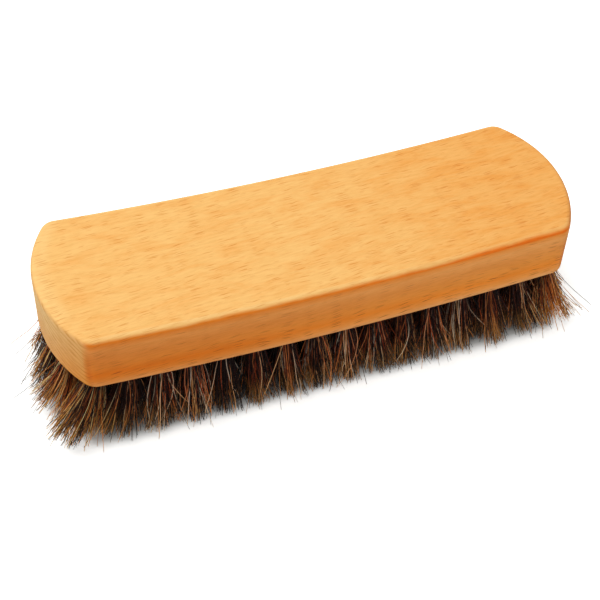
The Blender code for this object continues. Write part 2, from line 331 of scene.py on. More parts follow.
class Nodes:
    """Adds nodes to a tree. An input is a number, a colour or another node's output."""

    def __init__(self, tree):
        self.tree = tree
        tree.nodes.clear()

    def add(self, kind, settings=None, inputs=None):
        node = self.tree.nodes.new("ShaderNode" + kind)
        for name, value in (settings or {}).items():
            setattr(node, name, value)
        for name, value in (inputs or {}).items():
            if isinstance(value, bpy.types.NodeSocket):
                self.tree.links.new(value, node.inputs[name])
            else:
                node.inputs[name].default_value = value
        return node

    def math(self, operation, *values):
        node = self.add("Math", {"operation": operation}, dict(enumerate(values)))
        return node.outputs[0]

    def plus(self, first, second):
        return self.math("ADD", first, second)

    def minus(self, first, second):
        return self.math("SUBTRACT", first, second)

    def times(self, first, *others):
        for other in others:
            first = self.math("MULTIPLY", first, other)
        return first

    def vector(self, operation, *values):
        node = self.add("VectorMath", {"operation": operation}, dict(enumerate(values)))
        return node.outputs["Value" if operation == "LENGTH" else "Vector"]

    def join(self, x, y, z=0.0):
        return self.add("CombineXYZ", None, {0: x, 1: y, 2: z}).outputs[0]

    def split(self, vector):
        return self.add("SeparateXYZ", None, {0: vector}).outputs

    def stretch(self, x, y, factors):
        """A flat place made of two numbers, each with its own factor."""
        return self.join(self.times(x, factors[0]), self.times(y, factors[1]))

    def mix(self, share, first, second, blend="MIX"):
        settings = {"data_type": "RGBA", "blend_type": blend}
        return self.add("Mix", settings, {0: share, 6: first, 7: second}).outputs[2]

    def noise(self, vector, detail=3.0, roughness=0.5, distortion=0.0):
        values = {
            "Vector": vector,
            "Scale": 1.0,
            "Detail": detail,
            "Roughness": roughness,
            "Distortion": distortion,
        }
        return self.add("TexNoise", None, values).outputs["Fac"]

    def remap(self, value, low, high, start=0.0, end=1.0):
        """Takes low to start and high to end, smoothly in between, and flat beyond."""
        names = ("Value", "From Min", "From Max", "To Min", "To Max")
        values = dict(zip(names, (value, low, high, start, end)))
        return self.add("MapRange", {"interpolation_type": "SMOOTHSTEP"}, values).outputs[0]

    def ramp(self, value, stops):
        node = self.add("ValToRGB", None, {"Fac": value})
        elements = node.color_ramp.elements
        while len(elements) < len(stops):
            elements.new(1.0)
        for element, (place, colour) in zip(elements, stops):
            element.position = place
            element.color = (*colour, 1.0)
        return node.outputs["Color"]

    def attribute(self, name):
        settings = {"attribute_type": "GEOMETRY", "attribute_name": name}
        return self.add("Attribute", settings).outputs["Fac"]

    def finish(self, kind, output):
        self.add(f"Output{kind}", None, {"Surface": output})


def new_material(name):
    material = bpy.data.materials.new(name)
    material.use_nodes = True
    return material, Nodes(material.node_tree)


def underside(x):
    """Level of the block's underside, which rises towards both ends."""
    return BLOCK_LOW.z + BLOCK_ARCH * (2 * x / BLOCK_LENGTH) ** 2


def end_arc():
    """Radius of an end's curve and how far its centre lies from the middle."""
    half_width = BLOCK_WIDTH / 2
    radius = (half_width**2 + END_BOW**2) / (2 * END_BOW)
    return radius, BLOCK_LENGTH / 2 - radius


def end_reach(y):
    """How far from the middle an end's curve lies at a distance across the block."""
    radius, centre = end_arc()
    return centre + math.sqrt(radius**2 - y**2)


def row_pitch(y):
    return 2 * (end_reach(y) - END_WALL - HOLE_RADIUS) / (ROWS - 1)


def tuft_pitch():
    return (BLOCK_WIDTH - 2 * SIDE_WALL - HOLE_DIAMETER) / (TUFTS_PER_ROW - 1)


def centred(index, count):
    return index - (count - 1) / 2


def share_along(row):
    """Where a row lies, from -1 at the left end to 1 at the right end."""
    return centred(row, ROWS) / centred(ROWS - 1, ROWS)


def share_across(tuft):
    """Where a tuft of a row lies, from -1 at the front to 1 at the back."""
    return centred(tuft, TUFTS_PER_ROW) / centred(TUFTS_PER_ROW - 1, TUFTS_PER_ROW)


def tuft_place(row, tuft):
    y = centred(tuft, TUFTS_PER_ROW) * tuft_pitch()
    return centred(row, ROWS) * row_pitch(y), y


def tuft_lean(row, tuft):
    along = share_along(row)
    across = share_across(tuft)
    right = along > 0
    held = BACK_HOLD_SHARES[right] * ((1 + across) / 2) ** BACK_HOLD_POWER
    held -= CORNER_LEAN_SHARES[right] * ((1 - across) / 2) ** CORNER_LEAN_POWER
    lean_x = END_SPLAYS[right] * abs(along) ** (END_SPLAY_POWER - 1) * along * (1 - held)
    lean_y = SIDE_SPLAY * abs(across) ** (SIDE_SPLAY_POWER - 1) * across
    lean_y *= 1 + LEFT_SPLAY_GAIN * max(-along, 0) * (1 - along**CORNER_LEAN_POWER)
    return np.array((lean_x, lean_y))


def tuft_facing(row, tuft):
    """The way a tuft looks out: along the block at the ends, slantwise at corners, or across."""
    at_end = row in (0, ROWS - 1)
    at_corner = at_end and tuft in (0, TUFTS_PER_ROW - 1)
    x, y = tuft_place(row, tuft)
    if at_corner:
        return np.array((math.copysign(1, x), math.copysign(1, y))) / math.sqrt(2)
    return np.array((1.0, 0.0) if at_end else (0.0, 1.0))


def half_end_plan():
    """The plan of one end, from its tip round the arc and the corner to the long side."""
    radius, centre = end_arc()
    corner_y = BLOCK_WIDTH / 2 - CORNER_RADIUS
    corner_x = centre + math.sqrt((radius - CORNER_RADIUS) ** 2 - corner_y**2)
    turn = math.atan2(corner_y, corner_x - centre)
    points = [(BLOCK_LENGTH / 2, 0.0)]
    for step in range(1, ARC_STEPS + 1):
        angle = turn * step / ARC_STEPS
        points.append((centre + radius * math.cos(angle), radius * math.sin(angle)))
    for step in range(1, CORNER_STEPS + 1):
        angle = turn + (math.pi / 2 - turn) * step / CORNER_STEPS
        x = corner_x + CORNER_RADIUS * math.cos(angle)
        points.append((x, corner_y + CORNER_RADIUS * math.sin(angle)))
    return points


def block_plan():
    """Pairs of points across the block, from one end to the other."""
    half_end = half_end_plan()
    side_x, side_y = half_end[-1]
    sides = [(side_x * (1 - 2 * step / SIDE_STEPS), side_y) for step in range(1, SIDE_STEPS)]
    mirrored = [(-x, y) for x, y in reversed(half_end)]
    return [((x, -y), (x, y)) for x, y in [*half_end, *sides, *mirrored]]


def block_body():
    """The arched slab with its arrises rounded, before it is drilled."""
    bm = bmesh.new()
    rails = []
    for start, end in block_plan():
        first = bm.verts.new((*start, underside(start[0])))
        last = first if start == end else bm.verts.new((*end, underside(end[0])))
        rails.append((first, last))

    # At the tips of the ends two corners are one, so those faces have three corners
    for (a, b), (c, d) in zip(rails, rails[1:]):
        bm.faces.new(dict.fromkeys((a, b, d, c)))
    upper = bmesh.ops.extrude_face_region(bm, geom=bm.faces[:])["geom"]
    raised = [part for part in upper if isinstance(part, bmesh.types.BMVert)]
    bmesh.ops.translate(bm, verts=raised, vec=(0, 0, BLOCK_THICKNESS))
    bmesh.ops.recalc_face_normals(bm, faces=bm.faces[:])
    rims = (
        (1, TOP_ARRIS, TOP_ARRIS_STEPS),
        (-1, BOTTOM_ARRIS, BOTTOM_ARRIS_STEPS),
    )
    for side, radius, steps in rims:
        edges = [
            edge
            for edge in bm.edges
            if sum(face.normal.z * side > CAP_NORMAL_SHARE for face in edge.link_faces) == 1
        ]
        bmesh.ops.bevel(
            bm,
            geom=edges,
            offset=radius,
            segments=steps,
            profile=ROUND_PROFILE,
            affect="EDGES",
        )
    return bm


def drill_bits():
    bm = bmesh.new()
    for row in range(ROWS):
        for tuft in range(TUFTS_PER_ROW):
            x, y = tuft_place(row, tuft)
            middle = Vector((x, y, underside(x) + (HOLE_DEPTH - OVERRUN) / 2))
            bmesh.ops.create_cone(
                bm,
                cap_ends=True,
                segments=HOLE_SIDES,
                radius1=HOLE_RADIUS,
                radius2=HOLE_RADIUS,
                depth=HOLE_DEPTH + OVERRUN,
                matrix=Matrix.Translation(middle),
            )
    return bm


def object_from(name, data):
    item = bpy.data.objects.new(name, data)
    bpy.context.scene.collection.objects.link(item)
    return item


def object_from_bmesh(name, bm):
    mesh = bpy.data.meshes.new(name)
    bm.to_mesh(mesh)
    bm.free()
    return object_from(name, mesh)


def bake_modifiers(item):
    """Replace an object's mesh by what its modifiers make of it."""
    evaluated = item.evaluated_get(bpy.context.evaluated_depsgraph_get())
    item.data = bpy.data.meshes.new_from_object(evaluated)
    item.modifiers.clear()


def add_bake_layout(mesh, places):
    """The layout that baked colours use: one place in the unit square for each face corner."""
    layer = mesh.uv_layers.new(name="OFBake")
    layer.data.foreach_set("uv", places.astype(np.float32).ravel())


def read_values(items, name, width=1, kind=np.float64):
    """One property of every item of a mesh, as rows of the given width."""
    values = np.empty(len(items) * width, kind)
    items.foreach_get(name, values)
    return values.reshape(-1, width) if width > 1 else values


def inside_hole(middle):
    """Whether each face lies in a hole, by its middle."""
    level = underside(middle[:, 0])
    reach = np.array([end_reach(y) for y in middle[:, 1]])
    inside = np.abs(middle[:, 1]) < BLOCK_WIDTH / 2 - SIDE_WALL / 2
    inside &= np.abs(middle[:, 0]) < reach - END_WALL / 2
    inside &= middle[:, 2] > level + OVERRUN / 10
    return inside & (middle[:, 2] < level + HOLE_DEPTH + OVERRUN)


def block_layout(mesh):
    """Flat maps of the block's six sides, one above the other, with the holes in a corner."""
    normal = read_values(mesh.polygons, "normal", 3)
    middle = read_values(mesh.polygons, "center", 3)
    start = read_values(mesh.polygons, "loop_start", kind=np.int32)
    corner_vertex = read_values(mesh.loops, "vertex_index", kind=np.int32)
    points = read_values(mesh.vertices, "co", 3)[corner_vertex]
    face = np.repeat(np.arange(len(start)), np.diff([*start, len(corner_vertex)]))

    # Each side is flattened onto two axes and starts at its own height in the square
    span = BLOCK_WIDTH + UV_MARGIN / BLOCK_UV_SCALE
    tall = BLOCK_HIGH.z - BLOCK_LOW.z + UV_MARGIN / BLOCK_UV_SCALE
    x, y, z = points.T
    x = x + BLOCK_LENGTH / 2
    y = y + BLOCK_WIDTH / 2
    z = z - BLOCK_LOW.z
    ends_base = 2 * span + 2 * tall
    maps = (
        (x, y),
        (x, y + span),
        (x, z + 2 * span),
        (x, z + 2 * span + tall),
        (y, z + ends_base),
        (y + span, z + ends_base),
        (x / HOLE_MAP_SHRINK + 2 * span, z / HOLE_MAP_SHRINK + ends_base),
    )
    flat_side = np.where(normal[:, 1] < 0, 2, 3)
    end_side = np.where(normal[:, 0] < 0, 4, 5)
    side = np.where(np.abs(normal[:, 0]) > np.abs(normal[:, 1]), end_side, flat_side)
    side = np.where(normal[:, 2] > CAP_NORMAL_SHARE, 0, side)
    side = np.where(normal[:, 2] < -CAP_NORMAL_SHARE, 1, side)
    side = np.where(inside_hole(middle), HOLE_MAP, side)[face]
    across = np.choose(side, [pair[0] for pair in maps])
    up = np.choose(side, [pair[1] for pair in maps])
    return np.stack([across, up], 1) * BLOCK_UV_SCALE + UV_MARGIN


def build_block():
    block = object_from_bmesh("block_wood", block_body())
    bits = object_from_bmesh("drill_bits", drill_bits())
    cut = block.modifiers.new("holes", "BOOLEAN")
    cut.operation = "DIFFERENCE"
    cut.solver = "EXACT"
    cut.object = bits
    bake_modifiers(block)
    bpy.data.objects.remove(bits)
    add_bake_layout(block.data, block_layout(block.data))
    block.data.shade_smooth()
    block.data.set_sharp_from_angle(angle=math.radians(SHARP_DEGREES))
    weighted = block.modifiers.new("flat_faces", "WEIGHTED_NORMAL")
    weighted.keep_sharp = True
    block.data.materials.clear()
    block.data.materials.append(beech_material())
    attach(block, "root")
    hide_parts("block")


def beech_material():
    """Varnished beech: soft bands along the grain, fine fibre and short dark flecks.

    Places are in millimetres. On the top and the long sides, "across" runs over the grain and
    goes on round the arrises.
    """
    material, nodes = new_material("beech_varnished")
    coordinates = nodes.add("TexCoord").outputs
    place = nodes.vector("MULTIPLY", coordinates["Object"], (1 / MM,) * 3)
    axes = nodes.split(place)
    grain = nodes.split(wandering(nodes, place))
    across = nodes.plus(grain["Y"], grain["Z"])
    rise = nodes.split(coordinates["Normal"])["Z"]
    upward = upward_share(nodes, place, axes, rise)
    endward = endward_share(nodes, coordinates["Normal"])
    level = level_of(nodes, axes)

    bands = nodes.noise(nodes.stretch(grain["X"], across, BAND_STRETCH), *BAND_NOISE)
    flank = flank_colour(nodes, axes, bands, rise, endward, level)
    colour = nodes.mix(upward, flank, top_colour(nodes, axes, bands, rise))
    on_end = nodes.times(endward, nodes.minus(1.0, upward))
    lines = nodes.times(end_lines(nodes, axes), on_end)
    colour = nodes.mix(lines, colour, END_LINE_TINT, "MULTIPLY")
    marks, height, tint = along_marks(nodes, grain["X"], across, upward, level)
    marks = nodes.times(marks, nodes.remap(on_end, 0.0, 1.0, 1.0, END_MARK_SHARE))
    colour = nodes.mix(marks, colour, tint, "MULTIPLY")

    bump = nodes.add("Bump", None, {"Height": height})
    bump.inputs["Strength"].default_value = BUMP_STRENGTH
    bump.inputs["Distance"].default_value = BUMP_HEIGHT
    roughness = nodes.remap(height, *ROUGHNESS_FADE)
    shader = nodes.add(
        "BsdfPrincipled",
        None,
        {"Base Color": colour, "Roughness": roughness, "Normal": bump.outputs[0]},
    )
    shader.inputs["Specular IOR Level"].default_value = WOOD_SPECULAR
    shader.inputs["Coat Weight"].default_value = VARNISH_WEIGHT
    shader.inputs["Coat Roughness"].default_value = VARNISH_ROUGHNESS
    nodes.finish("Material", shader.outputs[0])
    return material


def upward_share(nodes, place, axes, rise):
    """1 on the top and 0 on the sides, changing over on the arris, not everywhere alike."""
    worn = nodes.noise(nodes.vector("MULTIPLY", place, WORN_STRETCH))
    rise = nodes.plus(rise, nodes.remap(worn, *WORN_FADE))
    rise = nodes.minus(rise, nodes.remap(axes["X"], *LEFT_RISE_FADE))
    rise = nodes.minus(rise, nodes.remap(axes["X"], *RIGHT_RISE_FADE))
    near_corner = nodes.times(
        nodes.remap(axes["X"], *CORNER_RISE_FADE),
        nodes.remap(axes["Y"], *CORNER_FRONT_FADE),
    )
    return nodes.remap(nodes.minus(rise, near_corner), *TOP_EDGE_FADE)


def endward_share(nodes, normal):
    """1 on the ends and 0 on the long sides."""
    flat = nodes.vector("LENGTH", nodes.vector("MULTIPLY", normal, (1.0, 1.0, 0.0)))
    along = nodes.math("ABSOLUTE", nodes.split(normal)["X"])
    turned = nodes.math("DIVIDE", along, nodes.math("MAXIMUM", flat, LEAST_FLAT))
    return nodes.remap(turned, *END_EDGE_FADE)


def level_of(nodes, axes):
    """Height above the underside as a share of the block's thickness."""
    across = nodes.times(axes["X"], 2 * MM / BLOCK_LENGTH)
    rise = nodes.times(nodes.math("POWER", across, 2.0), BLOCK_ARCH / MM)
    above = nodes.minus(axes["Z"], nodes.plus(rise, BLOCK_LOW.z / MM))
    return nodes.math("DIVIDE", above, BLOCK_THICKNESS / MM)


def top_colour(nodes, axes, bands, rise):
    """Pale and banded, with painted shade deeper to the right and a painted highlight: a paler rim
    at its long edges and left end.
    """
    # Painted shade, deeper towards the right
    drift = nodes.remap(axes["X"], *TOP_SHADE_DRIFT_FADE)
    deepness = nodes.plus(nodes.remap(bands, *TOP_BAND_FADE), drift)
    top = nodes.mix(deepness, TOP_PALE, TOP_DEEP)
    # Painted highlight: a paler rim at the long edges and round the left end
    rim = nodes.times(
        nodes.remap(rise, *RIM_INNER_FADE),
        nodes.remap(rise, *RIM_OUTER_FADE),
        nodes.remap(axes["X"], *RIM_ALONG_FADE),
        nodes.remap(nodes.math("ABSOLUTE", axes["Y"]), *RIM_BESIDE_FADE),
        nodes.remap(axes["X"], *RIM_START_FADE),
    )
    curve = END_BOW * MM / (BLOCK_WIDTH / 2) ** 2
    bowed = nodes.times(nodes.math("POWER", axes["Y"], 2.0), curve)
    from_end = nodes.minus(nodes.plus(axes["X"], BLOCK_LENGTH / 2 / MM), bowed)
    end_rim = nodes.times(
        nodes.remap(from_end, *END_RIM_FADE),
        nodes.remap(axes["Y"], *END_RIM_START_FADE),
    )
    return nodes.mix(nodes.math("MAXIMUM", rim, end_rim), top, RIM_HIGHLIGHT)


def side_colour(nodes, axes, bands, level):
    """The long sides: deep as painted shade, and banded, by level with painted sheen, and from left
    to right.
    """
    side = nodes.ramp(level, SIDE_SHEEN_SHADE_STOPS)
    tint = nodes.mix(nodes.remap(axes["X"], *SIDE_TINT_FADE), SIDE_LEFT_TINT, SIDE_RIGHT_TINT)
    side = nodes.mix(1.0, side, tint, "MULTIPLY")
    side = nodes.mix(nodes.remap(bands, *SIDE_BAND_FADE), side, GRAIN_TINT, "MULTIPLY")
    low_left = nodes.times(
        nodes.remap(level, *LOW_LEFT_START_FADE),
        nodes.remap(level, *LOW_LEFT_STOP_FADE),
        nodes.remap(axes["X"], *LOW_LEFT_ALONG_FADE),
    )
    return nodes.mix(low_left, side, LOW_LEFT_TINT, "MULTIPLY")


def end_colour(nodes, axes, rise, level):
    """The ends: paler than the long sides, with painted shade deeper below and towards both sides.
    """
    low = nodes.remap(level, *END_LEVEL_FADE)
    beside = nodes.remap(nodes.math("ABSOLUTE", axes["Y"]), *END_ACROSS_FADE)
    end = nodes.mix(nodes.plus(low, beside), END_PALE, END_SHADED)
    return nodes.mix(nodes.remap(rise, *END_ARRIS_FADE), end, END_RIM)


def flank_colour(nodes, axes, bands, rise, endward, level):
    """The long sides and the ends, with deeper corners and a deeper line below the arris, both
    painted shade.
    """
    side = side_colour(nodes, axes, bands, level)
    flank = nodes.mix(endward, side, end_colour(nodes, axes, rise, level))
    # Painted shade on the rounded corners
    corner = nodes.times(
        endward,
        nodes.minus(1.0, endward),
        nodes.remap(level, *CORNER_HIGH_FADE),
        nodes.remap(level, *CORNER_LOW_FADE),
    )
    flank = nodes.mix(corner, flank, CORNER_SHADE_TINT, "MULTIPLY")
    # Painted shade: a deeper line just below the top arris
    line = nodes.times(
        nodes.remap(rise, *ARRIS_SHADE_FADE),
        nodes.remap(axes["X"], *ARRIS_ALONG_FADE),
    )
    return nodes.mix(line, flank, ARRIS_SHADE_TINT, "MULTIPLY")


def along_marks(nodes, along, across, upward, level):
    """Fibre and flecks: how strongly they show, their height for the bump, and their tint."""
    tilted = nodes.minus(across, nodes.times(along, FLECK_TILT))
    ripple = nodes.noise(nodes.stretch(along, tilted, RIPPLE_STRETCH), RIPPLE_DETAIL)
    wavy = nodes.plus(tilted, nodes.times(ripple, FLECK_WAVE))
    fine = nodes.noise(nodes.stretch(along, wavy, FIBRE_STRETCH), *FIBRE_NOISE)
    fibre = nodes.remap(fine, *FIBRE_FADE)
    fleck = flecks(nodes, along, wavy, FLECK_CELL)
    fleck = nodes.math("MAXIMUM", fleck, flecks(nodes, along, wavy, DASH_CELL))
    streak = flecks(nodes, along, wavy, STREAK_CELL)
    streak = nodes.times(streak, nodes.remap(level, *STREAK_LEVEL_FADE))
    flank_mark = nodes.math("MAXIMUM", nodes.times(fleck, SIDE_FLECK_SHARE), streak)
    choice = {0: upward, 2: flank_mark, 3: fleck}
    mark = nodes.add("Mix", {"data_type": "FLOAT"}, choice).outputs[0]
    shown = nodes.math("MAXIMUM", fibre, mark)
    tint = nodes.mix(upward, SIDE_FLECK_TINT, TOP_FLECK_TINT)
    tint = nodes.mix(nodes.remap(mark, *FLECK_TINT_FADE), GRAIN_TINT, tint)
    height = nodes.minus(nodes.times(fine, FIBRE_HEIGHT_SHARE), mark)
    return shown, height, tint


def wandering(nodes, place):
    """Grain that runs along the block but wanders a little to either side."""
    slow = nodes.vector("MULTIPLY", place, SWAY_STRETCH)
    sway = nodes.add("TexNoise", None, {"Vector": slow, "Scale": 1.0})
    shift = nodes.vector("MULTIPLY", sway.outputs["Color"], SWAY_REACH)
    return nodes.vector("ADD", place, shift)


def flecks(nodes, along, across, cell):
    """Thin dashes along the grain, about one to a cell of the given size."""
    length, thickness, bare_share, strength = cell
    along = nodes.math("DIVIDE", along, length)
    across = nodes.math("DIVIDE", across, thickness)
    spread = {"Vector": nodes.join(along, across), "Scale": 1.0}
    cells = nodes.add("TexVoronoi", {"voronoi_dimensions": "2D"}, spread)
    chance = nodes.add("SeparateColor", None, {0: cells.outputs["Color"]}).outputs[0]
    spot = nodes.remap(cells.outputs["Distance"], *FLECK_SPOT_FADE)
    return nodes.times(spot, nodes.remap(chance, bare_share, 1.0, 0.0, strength))


def end_lines(nodes, axes):
    """Fine slanting rings of the end grain, and pores along them."""
    slant = nodes.minus(nodes.times(axes["Y"], RING_FALL), axes["Z"])
    slow = nodes.stretch(axes["Y"], axes["Z"], RING_SWAY_STRETCH)
    bent = nodes.plus(slant, nodes.times(nodes.noise(slow, RING_SWAY_DETAIL), RING_SWAY))
    wave = nodes.math("SINE", nodes.times(bent, FULL_TURN / RING_WIDTH))
    pores = nodes.noise(nodes.stretch(bent, axes["Y"], PORE_STRETCH), *PORE_NOISE)
    return nodes.plus(nodes.remap(wave, *RING_FADE), nodes.remap(pores, *PORE_FADE))


def hair_material():
    """Horsehair from near black through chestnut to grey blond, rusty or golden by its hue.

    Hairs turn golden towards their tips and towards the ends of the brush, and darken at the root
    as painted shade.
    """
    material, nodes = new_material("horsehair_strands")
    shade = nodes.attribute("shade")
    along = nodes.attribute("along")
    place = nodes.vector("MULTIPLY", nodes.add("TexCoord").outputs["Object"], (1 / MM,) * 3)
    tint = nodes.mix(nodes.attribute("hue"), GOLD_TINT, RUST_TINT)
    tinted = nodes.remap(shade, *HUE_FADE)
    colour = nodes.mix(tinted, nodes.ramp(shade, HAIR_STOPS), tint, "MULTIPLY")
    mottle = nodes.noise(nodes.vector("MULTIPLY", place, MOTTLE_STRETCH))
    colour = nodes.mix(nodes.remap(mottle, *MOTTLE_FADE), colour, MOTTLE_SHADOW)
    tipped = nodes.times(
        nodes.remap(along, *TIP_ALONG_FADE),
        nodes.remap(shade, *TIP_SHADE_FADE),
        TIP_SHARE,
    )
    colour = nodes.mix(tipped, colour, HAIR_TIP)
    outward = nodes.math("ABSOLUTE", nodes.split(place)["X"])
    colour = nodes.mix(nodes.remap(outward, *END_HAIR_FADE), colour, END_HAIR_TINT, "MULTIPLY")
    # Painted shade towards the roots, along more of the more sheltered hairs
    shelter = nodes.attribute("shelter")
    shade_start = nodes.math("MULTIPLY_ADD", shelter, *ROOT_SHADE_START)
    shade_end = nodes.math("MULTIPLY_ADD", shelter, *ROOT_SHADE_END)
    root_shade = nodes.remap(along, shade_start, shade_end, 1.0, 0.0)
    colour = nodes.mix(root_shade, colour, ROOT_SHADE_TINT, "MULTIPLY")
    shader = nodes.add("BsdfPrincipled", None, {"Base Color": colour})
    shader.inputs["Roughness"].default_value = HAIR_ROUGHNESS
    shader.inputs["Specular IOR Level"].default_value = HAIR_SPECULAR
    nodes.finish("Material", shader.outputs[0])
    return material


def tuft_hairs(rng, row, tuft):
    """A tuft's hairs: centre points from the hole to the tip, radii, shades, hues and shelter."""
    number = np.arange(HAIRS_PER_TUFT)
    turn = number * GOLDEN_ANGLE + rng.uniform(0, FULL_TURN)
    around = np.stack([np.cos(turn), np.sin(turn)], 1)
    reach = (HOLE_RADIUS - HAIR_RADII[1]) * np.sqrt((number + 0.5) / HAIRS_PER_TUFT)
    foot = reach[:, None] * around
    wild = number >= HAIRS_PER_TUFT - WILD_PER_TUFT
    tip, lock, stray = hair_tips(rng, row, tuft, foot, around, wild)
    points = hair_lines(rng, row, tuft, foot, tip, lock, stray, wild)
    shade, hue = hair_shades(rng, row, tuft, lock, wild)
    thickness = np.where(shade > PALE_SHADE, PALE_THICKNESS, 1)
    radius = rng.uniform(*HAIR_RADII, HAIRS_PER_TUFT) * thickness
    return points, radius, shade, hue, hair_shelter(row, tuft, foot)


def hair_tips(rng, row, tuft, foot, around, wild):
    """Where a tuft's tips lie before it leans, which lock each is in and which hairs stray.

    Each tip fans out from its foot and is drawn towards its lock.
    """
    count = HAIRS_PER_TUFT
    x, y = tuft_place(row, tuft)
    pitch = np.array((row_pitch(y), tuft_pitch()))
    squarer = np.abs(around).max(1) ** -FAN_SQUARENESS
    fan = foot * squarer[:, None] / HOLE_RADIUS * pitch * FAN_SHARE
    fan[:, 1] *= 1 + END_FAN_GAIN * abs(share_along(row)) ** END_POWER
    lock_tip = rng.uniform(-1, 1, (LOCKS_PER_TUFT, 2)) * FAN_SHARE * pitch
    distance = np.linalg.norm(fan[:, None] - lock_tip[None], axis=2)
    lock = np.argmin(distance + rng.uniform(0, LOCK_BLUR, distance.shape), 1)
    lock_tip = lock_tip + rng.normal(0, LOCK_DRIFT, lock_tip.shape)
    tip = fan + (lock_tip[lock] - fan) * LOCK_PULL_SHARE
    tip += rng.normal(0, TIP_JITTER, (count, 2))
    stray = rng.uniform(0, 1, count) < STRAY_SHARE
    astray = rng.normal(0, 1, (count, 2)).clip(-STRAY_LIMIT, STRAY_LIMIT)
    tip += astray * np.array(STRAY_REACH) * stray[:, None]
    crossing = np.array(WILD_REACH) * (1 - (x / tuft_place(ROWS - 1, tuft)[0]) ** 2, 1)
    astray = rng.normal(0, 1, (count, 2)).clip(-STRAY_LIMIT, STRAY_LIMIT)
    tip += astray * crossing * wild[:, None]
    return tip, lock, stray


def hair_lines(rng, row, tuft, foot, tip, lock, stray, wild):
    """Centre points of a tuft's hairs: hairs, rings, 3.

    A hair that leans keeps its length, and none reaches below the table.
    """
    count = HAIRS_PER_TUFT
    x, y = tuft_place(row, tuft)
    lean_out = tuft_lean(row, tuft)
    outward = lean_out / max(np.linalg.norm(lean_out), LEAST_LEAN)
    lean_out = lean_out * (1 + LEAN_SPREAD_SHARE * (foot @ outward) / HOLE_RADIUS)[:, None]
    level = underside(x)
    length = HAIR_LENGTH + ARCH_FILL_SHARE * (level - BLOCK_LOW.z)
    length = length * (1 - (1 - SHORTEST_SHARE) * rng.uniform(0, 1, count) ** SHORT_HAIR_POWER)
    length *= rng.uniform(LOCK_SHORTEST_SHARE, 1, LOCKS_PER_TUFT)[lock]
    length += stray * rng.uniform(0, STRAY_EXTRA, count)
    lean = np.linalg.norm(tip - foot + lean_out, axis=1)
    drop = np.sqrt(np.maximum(length**2 - lean**2, (length * LEAST_DROP_SHARE) ** 2))
    drop = np.minimum(drop, level - HAIR_RADII[1])

    share = np.linspace(-SINK / level, 1, HAIR_RINGS)[None, :, None]
    out = np.maximum(share, 0)
    lean_share = LEAN_START_SHARE * out + (1 - LEAN_START_SHARE) * out**2
    fan_share = FAN_START_SHARE * out + (1 - FAN_START_SHARE) * out**2
    plan = foot[:, None] + (tip - foot)[:, None] * fan_share + lean_out[:, None] * lean_share
    bow = rng.normal(0, BOW, (count, 1, 2)) * np.where(wild, WILD_BOW_GAIN, 1.0)[:, None, None]
    plan = plan + bow * 4 * out * (1 - out)
    phase = rng.uniform(0, FULL_TURN, (count, 1, 2))
    turns = rng.uniform(*WAVE_TURNS, (count, 1, 2))
    plan = plan + WAVE * out * np.sin(FULL_TURN * turns * share + phase)
    points = np.empty((count, HAIR_RINGS, 3))
    points[:, :, :2] = plan + (x, y)
    points[:, :, 2] = level - drop[:, None] * share[:, :, 0]
    return points


def hair_shades(rng, row, tuft, lock, wild):
    """How pale each hair of a tuft is, and how rusty. Those of a lock are mostly alike."""
    count = HAIRS_PER_TUFT
    along = share_along(row)
    right = along > 0
    lock_shade = rng.uniform(0, 1, LOCKS_PER_TUFT)
    near = np.clip(lock_shade[lock] + rng.normal(0, LOCK_SHADE_SPREAD, count), 0, 1)
    apart = rng.uniform(0, 1, count)
    shade = np.where(rng.uniform(0, 1, count) < LOCK_SHADE_SHARE, near, apart)
    # Painted light: hairs are paler at the ends and towards the right
    lighter = END_PAINTED_LIGHT_SHARES[right] * abs(along) ** END_POWER
    lighter *= 1 if right else 1 - abs(share_across(tuft))
    lighter += RIGHT_PAINTED_LIGHT_SHARE * max(along, 0)
    shade = shade ** (rng.uniform(*SHADE_POWERS) * (1 - lighter))
    shade = np.where(wild, rng.uniform(PALE_SHADE, 1, count), shade)
    lock_hue = rng.uniform(0, 1, LOCKS_PER_TUFT)
    hue = lock_hue[lock] + rng.normal(0, HUE_SPREAD, count) - END_GOLD * along**2
    return shade, np.clip(hue, 0, 1)


def hair_shelter(row, tuft, foot):
    """How far each hair of a tuft is sheltered from light, by how far in its foot lies; the hair
    material paints this as shade.
    """
    place = tuft_place(row, tuft)
    outermost = np.array((tuft_place(ROWS - 1, tuft)[0], tuft_place(0, TUFTS_PER_ROW - 1)[1]))
    depth = (outermost + HOLE_RADIUS - np.abs(foot + place)).min(1)
    low, high = SHELTER_DEPTHS
    facing = tuft_facing(row, tuft)
    flank = np.abs(foot @ np.array((-facing[1], facing[0]))) / HOLE_RADIUS
    return np.clip((depth - low) / (high - low) + FLANK_SHELTER * flank**2, 0, 1)


def tubes(points, radius):
    """Corner points of thin tubes round the given centre points: hairs, rings, sides, 3."""
    along = np.gradient(points, axis=1)
    along /= np.linalg.norm(along, axis=2, keepdims=True)
    right = np.cross(along, (0.0, 1.0, 0.0))
    right /= np.linalg.norm(right, axis=2, keepdims=True)
    front = np.cross(along, right)
    size = radius[:, None] * np.linspace(1, TIP_RADIUS_SHARE, HAIR_RINGS)[None]
    angle = FULL_TURN * np.arange(HAIR_SIDES) / HAIR_SIDES
    offset = right[:, :, None] * np.cos(angle)[:, None]
    offset = offset + front[:, :, None] * np.sin(angle)[:, None]
    return points[:, :, None] + offset * size[:, :, None, None]


